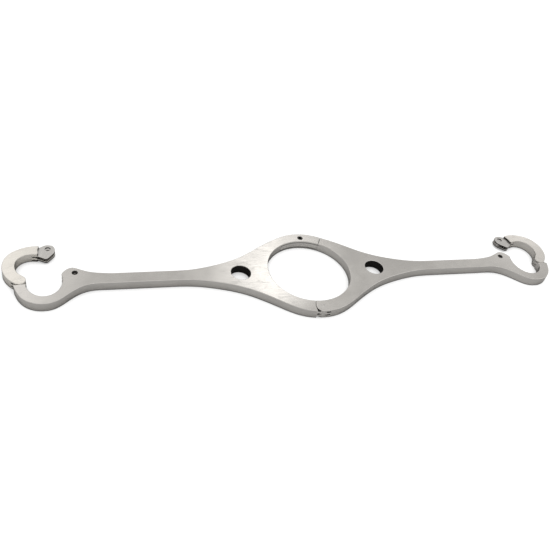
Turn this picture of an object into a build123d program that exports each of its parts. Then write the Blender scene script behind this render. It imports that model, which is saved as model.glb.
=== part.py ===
from build123d import *
import os
from math import cos, sin, radians

os.makedirs("parts", exist_ok=True)

# Rigid restraint bar: a split collar in the middle of a flat bar, with a hinged
# cuff at each end. Two mirror-image bar halves meet at a knuckle hinge (front of
# the collar) and a screwed lap joint (back of the collar). Each bar half ends in
# a fixed jaw that carries a swing jaw on a knuckle hinge, locked by two tongues
# and a flush set screw in the boss where the arm meets the cuff.
#
# Frame: origin on the collar's axis at the underside, +X along the bar to the
# right, +Y to the back (the lock side), +Z up. Lengths in millimetres.

# ---------------------------------------------------------------- dimensions
PLATE_T = 15.0            # thickness of the plate everything is cut from
LEAF_T = PLATE_T / 5      # five interleaved leaves at each hinge and lock
PLAY = 0.10               # play on each face of a middle leaf
SEAM_GAP = 0.35           # gap between the ends of leaves on different pieces

COLLAR_R = 65.0           # inside radius of the collar
HOLE_X = 108.7            # distance of the round through holes from the centre
HOLE_R = 15.0             # radius of those holes

HINGE_Y = -75.5           # collar hinge pivot, on the collar's front
HINGE_KNUCKLE_R = 10.2
HINGE_SEAM_TILT = 15.3    # lean of the seam from the knuckle to the inside wall, degrees
HINGE_PIN_R = 3.0
LAP_ANGLE = 62.0          # right-hand end of the collar's lap joint, degrees from +X
LAP_END_ANGLE = 118.0     # left-hand end of the lap joint
COLLAR_SCREW_XY = (4.0, 72.7)

CUFF_X, CUFF_Y = 388.5, 0.8   # centre of the wrist opening
CUFF_A, CUFF_B = 25.0, 30.3   # its semi-axes along X and Y
PIVOT_X, PIVOT_Y = 420.2, 3.2  # cuff hinge pivot
PIVOT_KNUCKLE_R = 8.3
PIVOT_CUT_TILT = 5.6      # tilt of the straight end cuts beside the cuff hinge, degrees
CUFF_PIN_R = 2.5
CUFF_SCREW_XY = (347.0, 13.3)
SLOT_END_R = 83.2         # end wall of the lock slot, radius about the pivot

SCREW_R = 4.0             # M8 hex socket set screws
SCREW_HOLE_R = 4.05
SCREW_L = 2.9
SCREW_RIM = 0.45          # chamfer at the mouth of a screw hole
SOCKET_AF = 4.0           # socket width across flats
SOCKET_DEPTH = 1.9
PIN_RUNNING = 0.05        # radial clearance of a pin in the leaves that turn on it
PIN_BREAK = 0.2           # edge break on a pin's ends

LEFT_OPEN = 52.0          # how far each swing jaw stands open at rest, degrees
RIGHT_OPEN = 39.0

MID_LEAVES = (1, 3)       # leaf numbers, 0 = lowest
OUTER_LEAVES = (0, 2, 4)

# ------------------------------------------------------------ outline points
# (distance from the centre line, y); the two sides of the bar mirror each other
FRONT = [(0, -85.7), (10, -85.4), (20, -83.7), (30, -80.4), (40, -75.6), (50, -69.3),
         (60, -62.2), (70, -54.9), (80, -47.9), (90, -41.4), (100, -35.5), (110, -30.5),
         (120, -26.3), (130, -22.7), (143, -18.8), (156, -15.4), (169, -12.7), (182, -10.8),
         (196, -9.8), (212, -9.6)]
BACK = [(0, 82.3), (10, 81.7), (20, 79.6), (30, 75.9), (40, 71.2), (50, 66.1), (60, 60.5),
        (70, 54.3), (80, 47.7), (90, 41.3), (100, 35.5), (110, 30.5), (120, 26.3),
        (130, 22.7), (143, 18.8), (156, 15.4), (169, 12.7), (182, 10.8), (196, 9.8), (212, 9.6)]
JAW_FRONT = [(298, -9.6), (310, -9.4), (320, -9.7), (328, -10.9), (335, -13.1), (342, -16.5),
             (349, -21.2), (355, -26.0), (360, -30.4), (365, -34.7), (371, -39.0), (378, -42.3),
             (386, -43.9), (394, -43.8), (402, -42.0), (409, -38.6), (415, -33.8), (420, -27.6),
             (424, -20.3), (427, -11.9), (428.5, 3.2)]
BOSS_BACK = [(290, 9.6), (302, 10.1), (313, 11.3), (322, 12.9), (330, 15.2), (338, 18.8),
             (344, 21.9), (348, 23.5), (351, 23.8), (354.5, 22.9), (358, 20.9), (361, 17.9),
             (363.6, 14.6), (365.1, 11.4)]
SWING_OUTER = [(428.5, 3.2), (428.5, 9.5), (427.6, 16.5), (425.4, 23.5), (421.5, 30.6),
               (416.0, 37.0), (408.5, 42.5), (400.0, 46.1), (391.0, 47.5), (382.0, 46.5),
               (374.0, 43.7), (366.5, 39.7), (360.5, 35.4), (356.2, 31.2), (353.4, 27.7),
               (351.8, 24.9)]
SHOULDER = [(351.8, 24.9), (354.8, 23.7), (358.6, 21.7), (361.6, 19.0), (364.0, 17.2), (366.9, 16.2)]


def mid_z(n):
    """z range cut for, or filled by, leaf n."""
    return n * LEAF_T, (n + 1) * LEAF_T


def outer_z(n):
    """z range cleared where leaf n belongs to the other piece, with the play."""
    lo = n * LEAF_T - (PLAY if n > 0 else 1.0)
    hi = (n + 1) * LEAF_T + (PLAY if n < 4 else 1.0)
    return lo, hi


def oval(t):
    """Point on the wrist opening; t in degrees, 0 = outermost, 90 = back."""
    return (CUFF_X + CUFF_A * cos(radians(t)), CUFF_Y + CUFF_B * sin(radians(t)))


def polar(r, deg, c=(0.0, 0.0)):
    return (c[0] + r * cos(radians(deg)), c[1] + r * sin(radians(deg)))


def on_side(side, pts, origin=(0.0, 0.0)):
    """Points given as (distance from the centre line, y), put on one side."""
    return [(side * (x - origin[0]), y - origin[1]) for x, y in pts]


PIVOT = (PIVOT_X, PIVOT_Y)
KNUCKLE_IN = (PIVOT_X - PIVOT_KNUCKLE_R, PIVOT_Y)
KNUCKLE_OUT = (PIVOT_X + PIVOT_KNUCKLE_R, PIVOT_Y)
JAW_OVAL = [oval(360 - 21 + (158.5 + 21 - 360) * i / 26) for i in range(27)]
SWING_OVAL = [oval(149.3 + (23 - 149.3) * i / 18) for i in range(19)]
CUT_R = PIVOT_KNUCKLE_R + SEAM_GAP


def hinge_seam(k, r):
    """Tangent point on a circle of radius r about the collar hinge, and the inner end
    of the leaning seam that leaves it there; k is the side it lies on."""
    t = radians(HINGE_SEAM_TILT)
    foot = (k * r * cos(t), HINGE_Y + r * sin(t))
    run = 13.0
    return foot, (foot[0] - k * run * sin(t), foot[1] + run * cos(t))


def hinge_cut(side, sign, origin=(0.0, 0.0)):
    """Four corners of the region beyond the straight cut beside the cuff hinge.
    sign +1 is the region above the fixed jaw's cut, -1 the one below the swing jaw's."""
    t = radians(PIVOT_CUT_TILT)
    ux, uy = -cos(t), sin(t)          # along the cut, towards the bar's middle
    nx, ny = sin(t), cos(t)           # away from the fixed jaw
    base = (PIVOT_X - sign * CUT_R * nx, PIVOT_Y - sign * CUT_R * ny)
    h = 2 * CUT_R + 10
    out = []
    for a, b in ((-16, 0), (17, 0), (17, h), (-16, h)):
        out.append((base[0] + a * ux + sign * b * nx, base[1] + a * uy + sign * b * ny))
    return on_side(side, out, origin)


# -------------------------------------------------------------- bar halves
for side in (-1, 1):
    hand = "left" if side < 0 else "right"
    with BuildPart() as bar:
        # the whole bar's outline, both sides, with the collar and the round holes
        with BuildSketch(Plane.XY):
            with BuildLine():
                Spline(*FRONT, tangents=[(1, 0), (1, 0)], tangent_scalars=[1, 1])
                Line(FRONT[-1], JAW_FRONT[0])
                Spline(*JAW_FRONT, tangents=[(1, 0), (0, 1)])
                ThreePointArc(KNUCKLE_OUT, (PIVOT_X, PIVOT_Y + PIVOT_KNUCKLE_R), KNUCKLE_IN)
                Line(KNUCKLE_IN, JAW_OVAL[0])
                Spline(*JAW_OVAL)
                Line(JAW_OVAL[-1], BOSS_BACK[-1])
                Spline(*reversed(BOSS_BACK))
                Line(BOSS_BACK[0], BACK[-1])
                Spline(*reversed(BACK), tangents=[(-1, 0), (-1, 0)])
                Line(BACK[0], FRONT[0])
            make_face()
            mirror(about=Plane.YZ)
            Circle(COLLAR_R, mode=Mode.SUBTRACT)
            with Locations((HOLE_X, 0), (-HOLE_X, 0)):
                Circle(HOLE_R, mode=Mode.SUBTRACT)
        extrude(amount=PLATE_T)

        # split the bar leaf by leaf: what belongs to the other half is cut away
        for n in range(5):
            outer = n in OUTER_LEAVES
            z0, z1 = outer_z(n) if outer else mid_z(n)
            with BuildSketch(Plane.XY.offset(z0)):
                with BuildLine():
                    knuckle = outer if side > 0 else not outer
                    # the seam at the collar hinge, front to inside wall
                    if knuckle:
                        r = HINGE_KNUCKLE_R
                        k = -side
                        a, inner = hinge_seam(k, r)
                        Line((0, -100), (0, HINGE_Y - r))
                        ThreePointArc((0, HINGE_Y - r), (k * r * cos(radians(45)), HINGE_Y - r * sin(radians(45))), a)
                        Line(a, inner)
                    else:
                        r = HINGE_KNUCKLE_R + SEAM_GAP
                        k = side
                        a, inner = hinge_seam(k, r)
                        Polyline((0, -100), (k * r, -100), (k * r, HINGE_Y), a, inner)
                    # the seam at the lap joint
                    ang = (LAP_ANGLE if outer else LAP_END_ANGLE) - side * 0.13
                    seam_in, seam_out = polar(COLLAR_R - 8, ang), polar(110, ang)
                    Line(inner, (inner[0], -40))
                    Line((inner[0], -40), seam_in)
                    Line(seam_in, seam_out)
                    # round the other half
                    far = -side * 460.0
                    Polyline(seam_out, (seam_out[0], 120), (far, 120), (far, -120), (0, -120), (0, -100))
                make_face()
            extrude(amount=z1 - z0, mode=Mode.SUBTRACT)

        # cuff hinge: outer leaves end at the straight cut, middle leaves keep the knuckle
        for n in OUTER_LEAVES:
            z0, z1 = outer_z(n)
            with BuildSketch(Plane.XY.offset(z0)):
                with BuildLine():
                    Polyline(*hinge_cut(side, 1), close=True)
                make_face()
            extrude(amount=z1 - z0, mode=Mode.SUBTRACT)

        # lock slots for the tongues
        for n in MID_LEAVES:
            z0, z1 = mid_z(n)
            with BuildSketch(Plane.XY.offset(z0)):
                with BuildLine():
                    p = on_side(side, [(374, 0.8), (349.2, 0.8), (340.5, 5.3), (337.45, 12.0),
                                       (PIVOT_X - SLOT_END_R * cos(radians(12)), PIVOT_Y + SLOT_END_R * sin(radians(12))),
                                       (PIVOT_X - SLOT_END_R * cos(radians(24)), PIVOT_Y + SLOT_END_R * sin(radians(24))),
                                       (374, 37)])
                    Line(p[0], p[1])
                    ThreePointArc(p[1], p[2], p[3])
                    ThreePointArc(p[3], p[4], p[5])
                    Polyline(p[5], p[6], p[0])
                make_face()
            extrude(amount=z1 - z0, mode=Mode.SUBTRACT)

        # pin and screw holes
        with BuildSketch(Plane.XY):
            with Locations((0, HINGE_Y)):
                Circle(HINGE_PIN_R + (PIN_RUNNING if side < 0 else 0))
            with Locations((side * PIVOT_X, PIVOT_Y)):
                Circle(CUFF_PIN_R + PIN_RUNNING)
            with Locations(COLLAR_SCREW_XY, (side * CUFF_SCREW_XY[0], CUFF_SCREW_XY[1])):
                Circle(SCREW_HOLE_R)
        extrude(amount=PLATE_T, mode=Mode.SUBTRACT)
        mouths = bar.edges().filter_by(GeomType.CIRCLE).filter_by(
            lambda e: abs(e.radius - SCREW_HOLE_R) < 1e-3 and abs(e.center().Z - PLATE_T) < 1e-3)
        chamfer(mouths, SCREW_RIM)
    bar.part.label = hand + "_bar_half"
    export_step(bar.part, "parts/" + hand + "_bar_half.step")

# --------------------------------------------------------------- swing jaws
for side in (-1, 1):
    hand = "left" if side < 0 else "right"
    swing = LEFT_OPEN if side < 0 else -RIGHT_OPEN
    base = Plane(origin=(side * PIVOT_X, PIVOT_Y, 0),
                 x_dir=(cos(radians(swing)), sin(radians(swing)), 0), z_dir=(0, 0, 1))
    with BuildPart() as jaw:
        with BuildSketch(base):
            with BuildLine():
                o = on_side(side, SWING_OUTER, PIVOT)
                s = on_side(side, SHOULDER, PIVOT)
                w = on_side(side, SWING_OVAL, PIVOT)
                r = PIVOT_KNUCKLE_R
                Spline(*o, tangents=[(0, 1), (side * -1.7, -3)])
                Spline(*s)
                Line(s[-1], w[0])
                Spline(*w)
                Line(w[-1], (-side * r, 0))
                ThreePointArc((-side * r, 0), (0, -r), (side * r, 0))
            make_face()
        extrude(amount=PLATE_T)

        # cuff hinge: middle leaves end at the straight cut
        for n in MID_LEAVES:
            z0, z1 = mid_z(n)
            with BuildSketch(base.offset(z0)):
                with BuildLine():
                    Polyline(*hinge_cut(side, -1, PIVOT), close=True)
                make_face()
            extrude(amount=z1 - z0, mode=Mode.SUBTRACT)

        # tongues
        for n in MID_LEAVES:
            z0, z1 = mid_z(n)
            with BuildSketch(base.offset(z0 + PLAY)):
                with BuildLine():
                    p = on_side(side, [(361.6, 1.2), (349.0, 1.2), (340.8, 5.6), (337.85, 12.0),
                                       (340.6, 18.6), (346.6, 22.5), (351.8, 24.6), (356.0, 29.0),
                                       (366.0, 27.0), (372.0, 21.5), (366.9, 14.0), (365.6, 5.6),
                                       (364.3, 2.5)], PIVOT)
                    Line(p[0], p[1])
                    ThreePointArc(p[1], p[2], p[3])
                    ThreePointArc(p[3], p[4], p[5])
                    Polyline(p[5], p[6], p[7], p[8], p[9], p[10])
                    Line(p[10], p[11])
                    ThreePointArc(p[11], p[12], p[0])
                make_face()
            extrude(amount=LEAF_T - 2 * PLAY)

        with BuildSketch(base):
            Circle(CUFF_PIN_R)
            with Locations(*on_side(side, [CUFF_SCREW_XY], PIVOT)):
                Circle(SCREW_HOLE_R)
        extrude(amount=PLATE_T, mode=Mode.SUBTRACT)
    jaw.part.label = hand + "_swing_jaw"
    export_step(jaw.part, "parts/" + hand + "_swing_jaw.step")

# --------------------------------------------------------------- hinge pins
for name, xy, r in (("collar_hinge_pin", (0, HINGE_Y), HINGE_PIN_R),
                    ("left_cuff_hinge_pin", (-PIVOT_X, PIVOT_Y), CUFF_PIN_R),
                    ("right_cuff_hinge_pin", (PIVOT_X, PIVOT_Y), CUFF_PIN_R)):
    with BuildPart() as pin:
        with BuildSketch(Plane(origin=(xy[0], xy[1], 0), z_dir=(0, 0, 1))):
            Circle(r)
        extrude(amount=PLATE_T)
        chamfer(pin.edges().filter_by(GeomType.CIRCLE), PIN_BREAK)
    pin.part.label = name
    export_step(pin.part, "parts/" + name + ".step")

# -------------------------------------------------------------- lock screws
for name, xy in (("collar_lock_screw", COLLAR_SCREW_XY),
                 ("left_cuff_lock_screw", (-CUFF_SCREW_XY[0], CUFF_SCREW_XY[1])),
                 ("right_cuff_lock_screw", CUFF_SCREW_XY)):
    top = PLATE_T - 0.05
    with BuildPart() as screw:
        with BuildSketch(Plane(origin=(xy[0], xy[1], top - SCREW_L), z_dir=(0, 0, 1))):
            Circle(SCREW_R)
        extrude(amount=SCREW_L)
        chamfer(screw.edges().filter_by(GeomType.CIRCLE), 0.35)
        with BuildSketch(Plane(origin=(xy[0], xy[1], top - SOCKET_DEPTH), z_dir=(0, 0, 1))):
            RegularPolygon(SOCKET_AF / 2, 6, major_radius=False)
        extrude(amount=SOCKET_DEPTH + 1, mode=Mode.SUBTRACT)
    screw.part.label = name
    export_step(screw.part, "parts/" + name + ".step")
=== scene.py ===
import bpy
import bmesh
import math
from mathutils import Matrix, Vector


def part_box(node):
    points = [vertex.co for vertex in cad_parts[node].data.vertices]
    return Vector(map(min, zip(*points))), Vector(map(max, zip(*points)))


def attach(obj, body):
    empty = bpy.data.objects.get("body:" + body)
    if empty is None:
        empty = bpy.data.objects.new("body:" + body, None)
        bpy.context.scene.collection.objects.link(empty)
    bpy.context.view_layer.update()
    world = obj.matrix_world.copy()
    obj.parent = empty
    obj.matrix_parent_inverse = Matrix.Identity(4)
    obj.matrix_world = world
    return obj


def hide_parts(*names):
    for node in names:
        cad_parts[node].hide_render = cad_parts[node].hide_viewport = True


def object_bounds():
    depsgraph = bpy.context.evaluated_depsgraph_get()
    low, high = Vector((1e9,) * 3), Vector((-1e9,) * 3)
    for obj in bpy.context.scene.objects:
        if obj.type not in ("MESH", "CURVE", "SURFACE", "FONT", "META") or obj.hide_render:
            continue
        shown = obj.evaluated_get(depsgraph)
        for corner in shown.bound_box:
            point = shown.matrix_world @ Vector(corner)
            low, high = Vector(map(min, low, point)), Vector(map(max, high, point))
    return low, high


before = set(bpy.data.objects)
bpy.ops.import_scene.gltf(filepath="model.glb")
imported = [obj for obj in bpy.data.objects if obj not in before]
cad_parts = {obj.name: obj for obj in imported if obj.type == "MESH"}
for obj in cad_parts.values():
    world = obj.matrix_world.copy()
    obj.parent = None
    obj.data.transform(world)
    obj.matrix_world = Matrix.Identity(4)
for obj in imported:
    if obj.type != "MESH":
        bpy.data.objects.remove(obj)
cad_lo, cad_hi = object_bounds()
scene = bpy.context.scene
TOP = cad_hi.z
MM = 0.001


# ---------------------------------------------------------------- node helpers
def new_material(name):
    m = bpy.data.materials.new(name)
    m.use_nodes = True
    m.node_tree.nodes.clear()
    return m, m.node_tree


class Tree:
    """Short calls for building a node tree."""

    def __init__(self, tree):
        self.t = tree

    def node(self, kind, **props):
        n = self.t.nodes.new(kind)
        for k, v in props.items():
            setattr(n, k, v)
        return n

    def put(self, socket, value):
        if isinstance(value, bpy.types.NodeSocket):
            self.t.links.new(value, socket)
        elif value is not None:
            socket.default_value = value

    def math(self, op, a, b=None, c=None, clamp=False):
        n = self.node("ShaderNodeMath", operation=op, use_clamp=clamp)
        for s, v in zip(n.inputs, (a, b, c)):
            self.put(s, v)
        return n.outputs[0]

    def vmath(self, op, a, b=None, scale=None):
        n = self.node("ShaderNodeVectorMath", operation=op)
        self.put(n.inputs[0], a)
        if b is not None:
            self.put(n.inputs[1], b)
        if scale is not None:
            self.put(n.inputs["Scale"], scale)
        return n.outputs["Value"] if op in ("DOT_PRODUCT", "LENGTH", "DISTANCE") else n.outputs[0]

    def ramp(self, x, lo, hi, a=0.0, b=1.0, smooth=True):
        n = self.node("ShaderNodeMapRange", interpolation_type="SMOOTHSTEP" if smooth else "LINEAR", clamp=True)
        self.put(n.inputs["Value"], x)
        n.inputs["From Min"].default_value = lo
        n.inputs["From Max"].default_value = hi
        n.inputs["To Min"].default_value = a
        n.inputs["To Max"].default_value = b
        return n.outputs["Result"]

    def mapping(self, vec, scale, rot=(0, 0, 0), loc=(0, 0, 0)):
        n = self.node("ShaderNodeMapping", vector_type="POINT")
        self.put(n.inputs["Vector"], vec)
        n.inputs["Location"].default_value = loc
        n.inputs["Rotation"].default_value = [math.radians(a) for a in rot]
        n.inputs["Scale"].default_value = scale
        return n.outputs[0]

    def noise(self, vec, scale=1.0, detail=2.0, rough=0.5, distortion=0.0):
        n = self.node("ShaderNodeTexNoise", noise_dimensions="3D")
        self.put(n.inputs["Vector"], vec)
        n.inputs["Scale"].default_value = scale
        n.inputs["Detail"].default_value = detail
        n.inputs["Roughness"].default_value = rough
        n.inputs["Distortion"].default_value = distortion
        return n.outputs["Fac"]

    def mix(self, fac, a, b):
        n = self.node("ShaderNodeMix", data_type="RGBA")
        self.put(n.inputs["Factor"], fac)
        self.put(n.inputs["A"], a)
        self.put(n.inputs["B"], b)
        return n.outputs["Result"]


# ------------------------------------------------------------------- materials
def steel(name, colour, worn, rough, grain_deg, grain_amp, crevice_shade_strength, scratches=1.0, seed=0.0, aniso=0.3, open_air=(0.06, 0.62)):
    """Ground and polished stainless steel. The grain runs at grain_deg from X; edges are polished bright by use;
    slots, seams and corners get painted shade, the leaves' parting planes painted dark lines, the lower edge a painted
    contact shadow."""
    m, tree = new_material(name)
    t = Tree(tree)
    out = t.node("ShaderNodeOutputMaterial")
    p = t.node("ShaderNodeBsdfPrincipled")
    tree.links.new(p.outputs[0], out.inputs[0])
    p.inputs["Metallic"].default_value = 1.0
    p.inputs["Anisotropic"].default_value = aniso

    obj = t.node("ShaderNodeTexCoord").outputs["Object"]
    mm = t.mapping(obj, (1000, 1000, 1000), loc=(seed, seed * 0.7, seed * 0.3))
    turned = t.mapping(mm, (1, 1, 1), rot=(0, 0, -grain_deg))

    # grinding lines of three widths, each broken up along its length
    g1 = t.noise(t.mapping(turned, (0.045, 1.5, 1.5)), 1, 3, 0.55)
    g2 = t.noise(t.mapping(turned, (0.12, 4.6, 4.6), loc=(31, 7, 3)), 1, 2, 0.5)
    g3 = t.noise(t.mapping(turned, (0.5, 13.0, 13.0), loc=(11, 57, 23)), 1, 1, 0.5)
    lines = t.math("ADD", t.math("MULTIPLY", g1, 0.45), t.math("ADD", t.math("MULTIPLY", g2, 0.35), t.math("MULTIPLY", g3, 0.2)))

    # polishing clouds, hand marks and single hairline scratches
    cloud = t.noise(mm, 0.021, 3, 0.55)
    smear = t.ramp(t.noise(t.mapping(mm, (0.05, 0.11, 0.11), rot=(0, 0, 24)), 1, 4, 0.6, 0.6), 0.5, 0.72)
    hair = None
    for ang, sc, lo in ((17, 0.9, 0.735), (-38, 1.25, 0.745), (71, 0.7, 0.75)):
        h = t.ramp(t.noise(t.mapping(mm, (0.018 * sc, 1.6 * sc, 1.6 * sc), rot=(0, 0, ang), loc=(ang, 3, 9)), 1, 2, 0.62), lo, lo + 0.03)
        hair = h if hair is None else t.math("MAXIMUM", hair, h)
    hair = t.math("MULTIPLY", hair, scratches)

    # edges polished by handling: where a rounded normal leaves the true one
    bev = t.node("ShaderNodeBevel", samples=4)
    bev.inputs["Radius"].default_value = 1.1 * MM
    geo = t.node("ShaderNodeNewGeometry")
    bend = t.vmath("DOT_PRODUCT", bev.outputs[0], geo.outputs["Normal"])
    edge = t.ramp(bend, 0.9, 0.995, 1.0, 0.0)
    edge = t.math("MULTIPLY", edge, t.ramp(t.noise(mm, 0.35, 3, 0.6), 0.3, 0.62, 0.45, 1.0))

    # painted shade in slots, seams and corners: darker, and rougher, where ambient occlusion finds nearby surfaces
    ao = t.node("ShaderNodeAmbientOcclusion", samples=4, only_local=False)
    ao.inputs["Distance"].default_value = 3.2 * MM
    crevice_shade = t.ramp(ao.outputs["AO"], open_air[0], open_air[1], 1.0, 0.0)
    crevice_shade = t.math("MULTIPLY", crevice_shade, t.ramp(t.noise(mm, 0.5, 3, 0.6), 0.25, 0.65, 0.8, 1.0))

    base = t.mix(t.ramp(cloud, 0.3, 0.7), [c * 0.955 for c in colour[:3]] + [1], [min(1, c * 1.035) for c in colour[:3]] + [1])
    base = t.mix(t.ramp(lines, 0.36, 0.64, 0.0, grain_amp), base, [c * 0.62 for c in colour[:3]] + [1])
    base = t.mix(t.math("MULTIPLY", hair, 0.22), base, worn)
    base = t.mix(t.math("MULTIPLY", edge, 0.75), base, worn)
    base = t.mix(t.math("MULTIPLY", crevice_shade, crevice_shade_strength), base, (0.02, 0.019, 0.018, 1))

    # painted shade: dark lines along the parting planes of the leaves; below, a painted contact shadow along the lower
    # edge
    sep = t.node("ShaderNodeSeparateXYZ")
    t.put(sep.inputs[0], obj)
    x, y, z = sep.outputs
    lean = t.node("ShaderNodeSeparateXYZ")
    tree.links.new(geo.outputs["Normal"], lean.inputs[0])
    upright = t.ramp(t.math("ABSOLUTE", lean.outputs[2]), 0.86, 0.95, 1.0, 0.0)
    seam_shade = pair = None
    for k in (1, 4, 2, 3):
        near = t.ramp(t.math("ABSOLUTE", t.math("SUBTRACT", z, TOP * k / 5)), 0.34 * MM, 0.62 * MM, 1.0, 0.0)
        seam_shade = near if seam_shade is None else t.math("MAXIMUM", seam_shade, near)
        if k == 4:
            pair = seam_shade
    where = None
    for cx, cy, r0 in LEAVES:
        d2 = t.vmath("DISTANCE", t.vmath("MULTIPLY", obj, (1, 1, 0)), (cx, cy, 0))
        here = t.ramp(d2, r0, r0 + 0.6 * MM, 1.0, 0.0)
        where = here if where is None else t.math("MAXIMUM", where, here)
    lap = t.math("MULTIPLY", t.ramp(y, 0.0563, 0.0568, 0.0, 1.0), t.ramp(t.math("ABSOLUTE", x), 0.0325, 0.0331, 1.0, 0.0))
    seam_shade = t.math("MULTIPLY", t.math("MAXIMUM", t.math("MULTIPLY", seam_shade, where), t.math("MULTIPLY", pair, lap)), upright)
    base = t.mix(t.math("MULTIPLY", seam_shade, 0.97), base, (0.02, 0.019, 0.018, 1))
    # painted contact shadow: darker within 1.5 mm of the bottom on faces not turned upward
    contact_shade = t.math("MULTIPLY", t.ramp(z, 0.5 * MM, 1.5 * MM, 0.82, 0.0), t.ramp(lean.outputs[2], 0.3, 0.6, 1.0, 0.0))
    base = t.mix(contact_shade, base, (0.035, 0.034, 0.033, 1))
    t.put(p.inputs["Base Color"], base)

    r = t.math("ADD", rough, t.ramp(cloud, 0.25, 0.75, -0.035, 0.045))
    r = t.math("ADD", r, t.ramp(lines, 0.35, 0.65, -0.03, 0.05))
    r = t.math("ADD", r, t.math("MULTIPLY", smear, 0.06))
    r = t.math("ADD", r, t.math("MULTIPLY", hair, 0.06))
    r = t.math("SUBTRACT", r, t.math("MULTIPLY", edge, 0.07))
    r = t.math("ADD", r, t.math("MULTIPLY", crevice_shade, 0.22))
    t.put(p.inputs["Roughness"], t.math("MAXIMUM", r, 0.06))

    height = t.math("SUBTRACT", t.math("MULTIPLY", lines, 0.6), t.math("MULTIPLY", hair, 0.3))
    bump = t.node("ShaderNodeBump")
    bump.inputs["Strength"].default_value = 0.16
    bump.inputs["Distance"].default_value = 0.02 * MM
    t.put(bump.inputs["Height"], height)
    tree.links.new(bump.outputs[0], p.inputs["Normal"])

    # the grain's direction, riding with the body
    d = t.node("ShaderNodeVectorTransform", vector_type="VECTOR", convert_from="OBJECT", convert_to="WORLD")
    d.inputs[0].default_value = (math.cos(math.radians(grain_deg)), math.sin(math.radians(grain_deg)), 0.02)
    tree.links.new(d.outputs[0], p.inputs["Tangent"])
    return m


def turned_steel(name, colour, centre, rough, ring=3.2, depth=0.3, socket=None):
    """A cut end of round stock: faint lathe rings about its own axis."""
    m, tree = new_material(name)
    t = Tree(tree)
    out = t.node("ShaderNodeOutputMaterial")
    p = t.node("ShaderNodeBsdfPrincipled")
    tree.links.new(p.outputs[0], out.inputs[0])
    p.inputs["Metallic"].default_value = 1.0
    obj = t.node("ShaderNodeTexCoord").outputs["Object"]
    mm = t.vmath("SCALE", t.vmath("SUBTRACT", obj, tuple(centre)), scale=1000.0)
    flat = t.vmath("MULTIPLY", mm, (1, 1, 0))
    r = t.vmath("LENGTH", flat)
    wob = t.noise(mm, 0.9, 3, 0.55)
    rings = t.math("SINE", t.math("MULTIPLY", t.math("ADD", r, t.math("MULTIPLY", wob, 0.22)), ring * 2 * math.pi))
    speck = t.noise(mm, 5.0, 3, 0.6)
    base = t.mix(t.ramp(t.math("ADD", t.math("MULTIPLY", rings, 0.25), speck), 0.2, 0.9), [c * 0.72 for c in colour[:3]] + [1], colour)
    # painted shade: near-black where ambient occlusion finds nearby surfaces
    ao = t.node("ShaderNodeAmbientOcclusion", samples=4)
    ao.inputs["Distance"].default_value = 1.6 * MM
    base = t.mix(t.ramp(ao.outputs["AO"], 0.1, 0.85, 0.75, 0.0), base, (0.02, 0.018, 0.016, 1))
    # painted highlight: a light disc at the middle of the screw head
    if socket:
        base = t.mix(t.ramp(r, 1.5, 1.95, 1.0, 0.0), base, socket)
    t.put(p.inputs["Base Color"], base)
    t.put(p.inputs["Roughness"], t.math("ADD", rough, t.ramp(speck, 0.3, 0.7, -0.06, 0.09)))
    bump = t.node("ShaderNodeBump")
    bump.inputs["Strength"].default_value = depth
    bump.inputs["Distance"].default_value = 0.02 * MM
    t.put(bump.inputs["Height"], t.math("ADD", t.math("MULTIPLY", rings, 0.5), speck))
    tree.links.new(bump.outputs[0], p.inputs["Normal"])
    return m


# where the leaves of the hinges and of the collar's lap show on the walls: middle, radius
LEAVES = (
    (0.0, -0.0755, 7.5 * MM),
    (0.4202, 0.0032, 9.5 * MM),
    (-0.4202, 0.0032, 9.5 * MM),
)
PLATE = (0.80, 0.78, 0.75, 1)
BRIGHT = (0.95, 0.945, 0.935, 1)
MILLED = (0.83, 0.815, 0.79, 1)
bar_left = steel("steel_bar_left", PLATE, BRIGHT, 0.135, 0, 0.14, 0.92, 0.5, seed=3.0)
bar_right = steel("steel_bar_right", PLATE, BRIGHT, 0.135, 0, 0.14, 0.92, 0.5, seed=57.0)
# painted light: the swing jaws get lighter copies of the bars' steel colour, so they read brighter
jaw_left = steel("steel_jaw_left", (0.97, 0.935, 0.875, 1), BRIGHT, 0.18, 20, 0.11, 0.92, 0.4, seed=91.0)
jaw_right = steel("steel_jaw_right", (0.93, 0.90, 0.855, 1), BRIGHT, 0.16, -20, 0.11, 0.92, 0.4, seed=130.0)
# cutter faces between the leaves and on the tongues, which no wheel reaches
milled = steel("steel_milled", MILLED, (0.85, 0.84, 0.82, 1), 0.29, 64, 0.3, 0.96, 0.3, seed=171.0, aniso=0.2, open_air=(0.32, 0.88))
# bores and step walls: near-black steel, painted shade
dark_shade = steel("steel_bored", (0.045, 0.043, 0.041, 1), (0.16, 0.155, 0.15, 1), 0.34, 0, 0.4, 0.9, 0.3, seed=211.0, aniso=0.0)


# ---------------------------------------------------------------------- pieces
PIN_AXES = []
for pin in ("collar_hinge_pin", "left_cuff_hinge_pin", "right_cuff_hinge_pin"):
    lo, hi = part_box(pin)
    PIN_AXES.append(((lo.x + hi.x) / 2, (lo.y + hi.y) / 2, (hi.x - lo.x) / 2))
ROUND_HOLES = ((-0.1087, 0.0), (0.1087, 0.0))


SHOULDER = ((351.8, 24.9), (354.8, 23.7), (358.6, 21.7), (361.6, 19.0), (364.0, 17.2), (366.9, 16.2))
PIVOT = Vector((0.4202, 0.0032))
LOCK = Vector((0.347, 0.0133))


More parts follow.
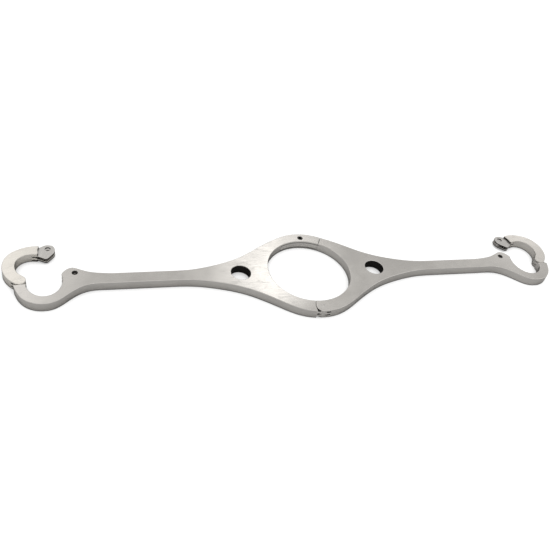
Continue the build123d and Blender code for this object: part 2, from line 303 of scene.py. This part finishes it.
def surface(c, n, turn):
    """Material of a CAD face: 0 polished, 1 milled, 2 painted shade, near-black on bores and step walls. turn is how
    far a swing jaw stands open, in degrees about its pivot, and None for a bar half."""
    inside = 0.2 * MM < c.z < TOP - 0.2 * MM
    if abs(n.z) > 0.9:
        return 1 if inside else 0
    if abs(n.z) > 0.1 or not inside:
        return 0
    leaf = int(c.z / (TOP / 5))
    x = abs(c.x)
    if turn is None:
        if any(math.hypot(c.x - hx, c.y - hy) < 15.4 * MM for hx, hy in ROUND_HOLES):
            return 2
        if x < 0.045 and abs(n.x * c.x + n.y * c.y) < 0.9 * math.hypot(c.x, c.y):
            return 2
        if leaf in (1, 3) and 0.337 < x < 0.366 and c.y > 0.0005:
            return 1
        if leaf in (0, 2, 4) and x > 0.405 and n.y > 0.9:
            return 2
        return 0
    side = -1 if c.x < 0 else 1
    a = math.radians(-turn)
    dx, dy = c.x - side * PIVOT.x, c.y - PIVOT.y
    px = abs(side * PIVOT.x + dx * math.cos(a) - dy * math.sin(a))
    py = PIVOT.y + dx * math.sin(a) + dy * math.cos(a)
    if math.hypot(px - LOCK.x, py - LOCK.y) < 4.3 * MM:
        return 2
    if leaf in (1, 3) and px < 0.372 and not (px > 0.3655 and py > 0.018):
        return 2
    if leaf in (1, 3) and px > 0.405 and 0.009 < py < 0.015:
        return 1
    if leaf in (0, 2, 4) and min(math.hypot(px * 1000 - (sx0 + (sx1 - sx0) * k / 6), py * 1000 - (sy0 + (sy1 - sy0) * k / 6))
                                 for (sx0, sy0), (sx1, sy1) in zip(SHOULDER, SHOULDER[1:]) for k in range(7)) < 0.9:
        return 2
    return 0


def finished(node, name, body, material, big=0.75, small=0.3, turn=None):
    """The CAD solid's own shape with its edges rounded as hand polishing leaves them:
    wide on the plate's outline, narrow on the leaves, slots and seams."""
    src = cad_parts[node]
    bm = bmesh.new()
    bm.from_mesh(src.data)
    bmesh.ops.remove_doubles(bm, verts=bm.verts, dist=3e-5)
    bmesh.ops.dissolve_degenerate(bm, edges=bm.edges, dist=1e-5)
    bmesh.ops.dissolve_limit(bm, angle_limit=math.radians(0.35), use_dissolve_boundaries=False,
                             verts=bm.verts, edges=bm.edges, delimit=set())
    bmesh.ops.recalc_face_normals(bm, faces=bm.faces)
    weight = bm.edges.layers.float.new("bevel_weight_edge")
    for e in bm.edges:
        if len(e.link_faces) != 2:
            continue
        ang = e.calc_face_angle(0.0)
        e.smooth = ang < math.radians(28)
        if ang < math.radians(28) or not e.is_convex:
            continue
        mid = (e.verts[0].co + e.verts[1].co) / 2
        if any(math.hypot(mid.x - x, mid.y - y) < r + 0.4 * MM for x, y, r in PIN_AXES):
            continue
        z = [v.co.z for v in e.verts]
        outline = all(abs(a - TOP) < 2e-5 for a in z) or all(abs(a) < 2e-5 for a in z)
        e[weight] = 1.0 if outline and ang > math.radians(60) else small / big
    for f in bm.faces:
        f.smooth = True
        c = f.calc_center_median()
        f.material_index = surface(c, f.normal, turn)
    me = bpy.data.meshes.new(name)
    bm.to_mesh(me)
    bm.free()
    o = bpy.data.objects.new(name, me)
    scene.collection.objects.link(o)
    for m in (material, milled, dark_shade):
        me.materials.append(m)
    b = o.modifiers.new("edges", "BEVEL")
    b.limit_method = "WEIGHT"
    b.offset_type = "OFFSET"
    b.width = big * MM
    b.segments = 3
    b.profile = 0.5
    b.use_clamp_overlap = False
    b.material = 0
    b.harden_normals = False
    b.miter_outer = "MITER_SHARP"
    w = o.modifiers.new("normals", "WEIGHTED_NORMAL")
    w.keep_sharp = True
    w.mode = "FACE_AREA"
    w.weight = 60
    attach(o, body)
    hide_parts(node)
    return o


finished("left_bar_half", "left_bar", "left_bar_half", bar_left)
finished("right_bar_half", "right_bar", "right_bar_half", bar_right)
finished("left_swing_jaw", "left_jaw", "left_swing_jaw", jaw_left, turn=52.0)
finished("right_swing_jaw", "right_jaw", "right_swing_jaw", jaw_right, turn=-39.0)


def centre_of(node):
    lo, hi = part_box(node)
    return (lo + hi) / 2


for node, mat in (("collar_hinge_pin", bar_right), ("left_cuff_hinge_pin", jaw_left), ("right_cuff_hinge_pin", jaw_right)):
    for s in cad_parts[node].material_slots:
        s.material = mat
for node in ("collar_lock_screw", "left_cuff_lock_screw", "right_cuff_lock_screw"):
    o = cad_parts[node]
    c = centre_of(node)
    # the cuff screws carry a painted highlight at their middle, the collar screw none
    mat = turned_steel("steel_" + node, (0.05, 0.048, 0.046, 1), (c.x, c.y, 0), 0.3, ring=2.2,
                       socket=None if node.startswith("collar") else (0.85, 0.83, 0.80, 1))
    for s in o.material_slots:
        s.material = mat


# ----------------------------------------------------------------------- stage
def direction(az, el):
    a, e = math.radians(az), math.radians(el)
    return (math.sin(a) * math.cos(e), math.cos(a) * math.cos(e), math.sin(e))


# soft boxes round the table: azimuth and elevation of the middle, half size of the
# even part, half size where it has faded out (degrees), and strength
SOFT = (
    (22.0, 42.8, 1.0, 5.0, 1.1),
    (-15.0, 43.0, 5.0, 13.0, 0.45),
    (43.6, 31.2, 1.0, 5.0, 0.5),
    (156.0, 43.0, 5.0, 13.0, 1.0),
    (195.0, 42.0, 16.0, 34.0, 0.4),
    (115.0, 30.0, 8.0, 30.0, 0.5),
    (-95.0, 35.0, 8.0, 30.0, 0.5),
)
world = bpy.data.worlds.new("studio")
scene.world = world
world.use_nodes = True
world.node_tree.nodes.clear()
w = Tree(world.node_tree)
wout = w.node("ShaderNodeOutputWorld")
bg = w.node("ShaderNodeBackground")
world.node_tree.links.new(bg.outputs[0], wout.inputs[0])
ray = w.vmath("NORMALIZE", w.node("ShaderNodeTexCoord").outputs["Generated"])
level = w.ramp(w.vmath("DOT_PRODUCT", ray, (0, 0, 1)), -0.1, 0.9, 0.46, 0.56)
for az, el, inner, outer, power in SOFT:
    cosine = w.vmath("DOT_PRODUCT", ray, direction(az, el))
    level = w.math("ADD", level, w.ramp(cosine, math.cos(math.radians(outer)), math.cos(math.radians(inner)), 0.0, power))
is_camera = w.node("ShaderNodeLightPath").outputs["Is Camera Ray"]
level = w.math("ADD", w.math("MULTIPLY", level, w.math("SUBTRACT", 1.0, is_camera)), w.math("MULTIPLY", is_camera, 0.96))
w.put(bg.inputs["Strength"], level)
bg.inputs["Color"].default_value = (1.0, 0.985, 0.965, 1)

floor_mesh = bpy.data.meshes.new("floor")
S = 6.0
floor_mesh.from_pydata([(-S, -S, 0), (S, -S, 0), (S, S, 0), (-S, S, 0)], [], [(0, 1, 2, 3)])
floor = bpy.data.objects.new("floor", floor_mesh)
floor.location = (0, 0, -0.0002)
scene.collection.objects.link(floor)
fm, ft = new_material("pale_floor")
f = Tree(ft)
fout = f.node("ShaderNodeOutputMaterial")
seen = f.node("ShaderNodeBsdfDiffuse")
seen.inputs["Color"].default_value = (0.93, 0.93, 0.93, 1)
glow = f.node("ShaderNodeEmission")
glow.inputs["Color"].default_value = (1, 1, 1, 1)
# painted contact shadow on the floor: its glow dims where ambient occlusion finds the object
contact_shade = f.node("ShaderNodeAmbientOcclusion", samples=6)
contact_shade.inputs["Distance"].default_value = 20 * MM
f.put(glow.inputs["Strength"], f.ramp(contact_shade.outputs["AO"], 0.36, 0.62, 0.55, 1.25))
pale = f.node("ShaderNodeMixShader")
pale.inputs[0].default_value = 0.72
ft.links.new(seen.outputs[0], pale.inputs[1])
ft.links.new(glow.outputs[0], pale.inputs[2])
# painted shade: reflection rays see a grey copy of the floor, darker still near the object by ambient occlusion; the
# camera sees the pale one
mirrored = f.node("ShaderNodeBsdfDiffuse")
near = f.node("ShaderNodeAmbientOcclusion", samples=4)
near.inputs["Distance"].default_value = 7 * MM
shade = f.ramp(near.outputs["AO"], 0.42, 0.85, 0.05, 0.46)
comb = f.node("ShaderNodeCombineColor")
for s in comb.inputs:
    f.put(s, shade)
ft.links.new(comb.outputs[0], mirrored.inputs["Color"])
pick = f.node("ShaderNodeMixShader")
ft.links.new(f.node("ShaderNodeLightPath").outputs["Is Camera Ray"], pick.inputs[0])
ft.links.new(mirrored.outputs[0], pick.inputs[1])
ft.links.new(pale.outputs[0], pick.inputs[2])
ft.links.new(pick.outputs[0], fout.inputs[0])
floor_mesh.materials.append(fm)


def area(name, where, target, size, energy, glossy=True):
    d = bpy.data.lights.new(name, "AREA")
    d.shape = "RECTANGLE"
    d.size, d.size_y = size
    d.energy = energy
    o = bpy.data.objects.new(name, d)
    o.location = where
    o.rotation_euler = (Vector(target) - Vector(where)).to_track_quat("-Z", "Y").to_euler()
    o.visible_glossy = glossy
    scene.collection.objects.link(o)
    return o


area("key", (-0.7, 0.9, 1.5), (0, 0, 0), (1.2, 1.0), 9.0, glossy=False)
area("fill", (1.0, -0.8, 1.3), (0, 0, 0), (1.2, 1.2), 5.0, glossy=False)

# ---------------------------------------------------------------------- camera
cam_data = bpy.data.cameras.new("camera")
cam_data.sensor_fit = "HORIZONTAL"
cam_data.sensor_width = 36.0
cam_data.lens = 44.988
cam_data.clip_start, cam_data.clip_end = 0.01, 50
cam = bpy.data.objects.new("camera", cam_data)
right = Vector((0.957522, -0.230441, 0.173346))
down = Vector((-0.040908, -0.703616, -0.709402))
ahead = Vector((0.285445, 0.672177, -0.683155))
cam.matrix_world = Matrix((
    (right.x, -down.x, -ahead.x, -0.353423),
    (right.y, -down.y, -ahead.y, -0.705082),
    (right.z, -down.z, -ahead.z, 0.722951),
    (0, 0, 0, 1),
))
scene.collection.objects.link(cam)
scene.camera = cam
scene.view_settings.view_transform = "Standard"
scene.view_settings.look = "None"
